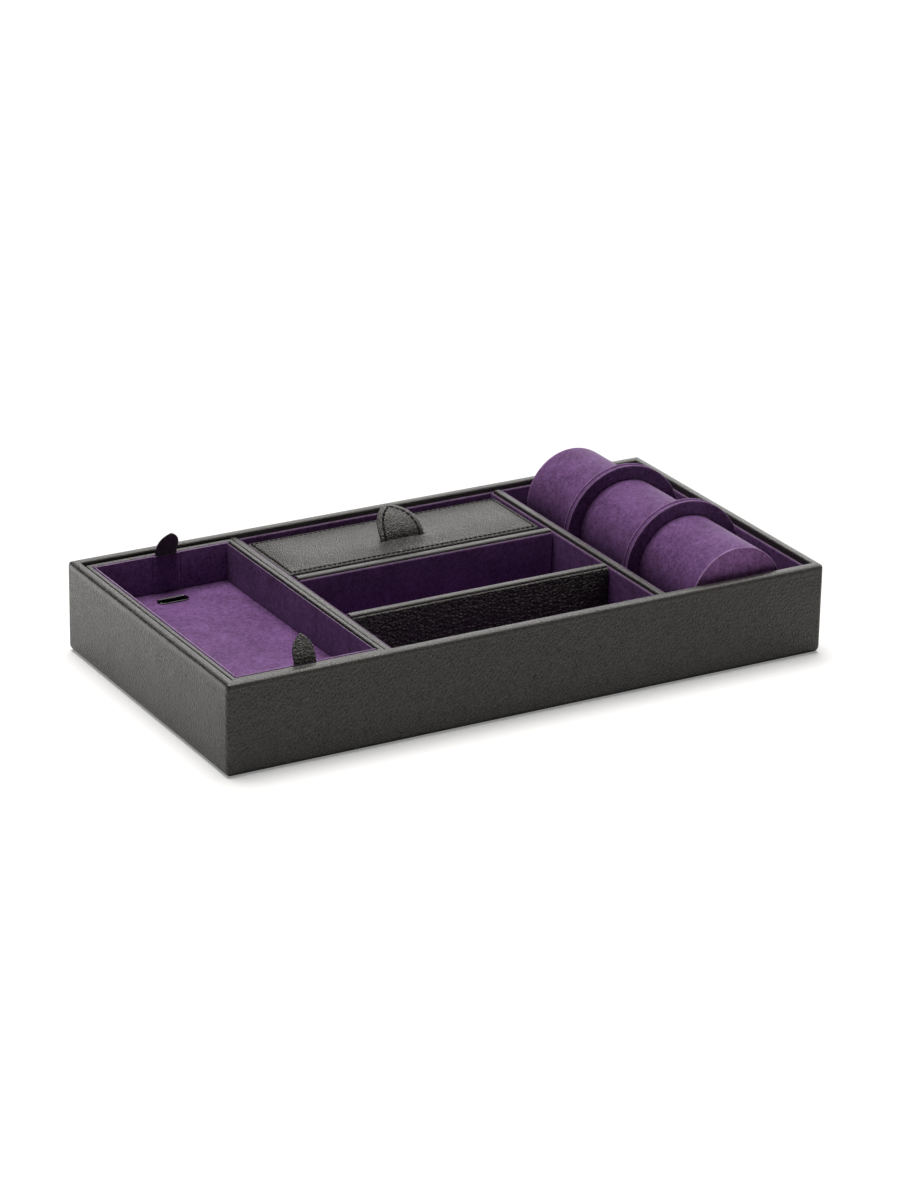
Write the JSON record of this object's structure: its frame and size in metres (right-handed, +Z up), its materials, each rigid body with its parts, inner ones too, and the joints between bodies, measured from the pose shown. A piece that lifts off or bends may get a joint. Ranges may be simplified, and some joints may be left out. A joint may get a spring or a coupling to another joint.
{
  "type": "leather tray",
  "caption": "Low leather valet tray with a lift-out suede-lined insert and cable slot, a padded lift-off lid, open bays and a suede watch roll with hoops.",
  "frame": {"origin": "middle of the tray's underside, on the surface it stands on", "axes": "+X to the right along the tray's length, towards the watch roll; +Y to the back; +Z up"},
  "size_m": [0.37, 0.196, 0.0777],
  "materials": {
    "black_leather": "pebbled, satin",
    "purple_suede": "napped suede",
    "grey_board": "plain stiff board",
    "black_base_sheet": "matt lining",
    "black_plastic": "gloss"
  },
  "bodies": {
    "root": {"outer_wrap": "black_leather", "left_divider_wrap": "black_leather", "right_divider_wrap": "black_leather", "back_divider_wrap": "black_leather", "front_divider_wrap": "black_leather", "front_bay_leather_panel": "black_leather", "insert_wrap": "black_leather", "insert_back_pull_tab": "black_leather", "insert_front_pull_tab": "black_leather", "lid_cover": "black_leather", "lid_tab": "black_leather", "left_floor_lining": "purple_suede", "right_floor_lining": "purple_suede", "back_floor_lining": "purple_suede", "middle_floor_lining": "purple_suede", "front_floor_lining": "purple_suede", "back_wall_liner": "purple_suede", "front_wall_liner": "purple_suede", "right_wall_liner": "purple_suede", "roll_bay_liner": "purple_suede", "left_divider_liner": "purple_suede", "right_divider_liner": "purple_suede", "lid_bay_panel": "purple_suede", "middle_bay_back_panel": "purple_suede", "middle_bay_front_panel": "purple_suede", "insert_left_rail": "purple_suede", "insert_right_rail": "purple_suede", "insert_floor_lining": "purple_suede", "insert_back_panel": "purple_suede", "insert_front_panel": "purple_suede", "insert_left_panel": "purple_suede", "insert_right_panel": "purple_suede", "lid_lining": "purple_suede", "lid_left_ledge": "purple_suede", "lid_right_ledge": "purple_suede", "roll_cover": "purple_suede", "roll_front_end": "purple_suede", "roll_back_end": "purple_suede", "front_hoop": "purple_suede", "back_hoop": "purple_suede", "base_board": "grey_board", "front_board": "grey_board", "back_board": "grey_board", "left_board": "grey_board", "right_board": "grey_board", "left_divider_board": "grey_board", "right_divider_board": "grey_board", "back_divider_board": "grey_board", "front_divider_board": "grey_board", "insert_frame": "grey_board", "insert_base_board": "grey_board", "lid_board": "grey_board", "roll_core": "grey_board", "base_cover": "black_base_sheet", "slot_grommet": "black_plastic"}
  },
  "joints": []
}
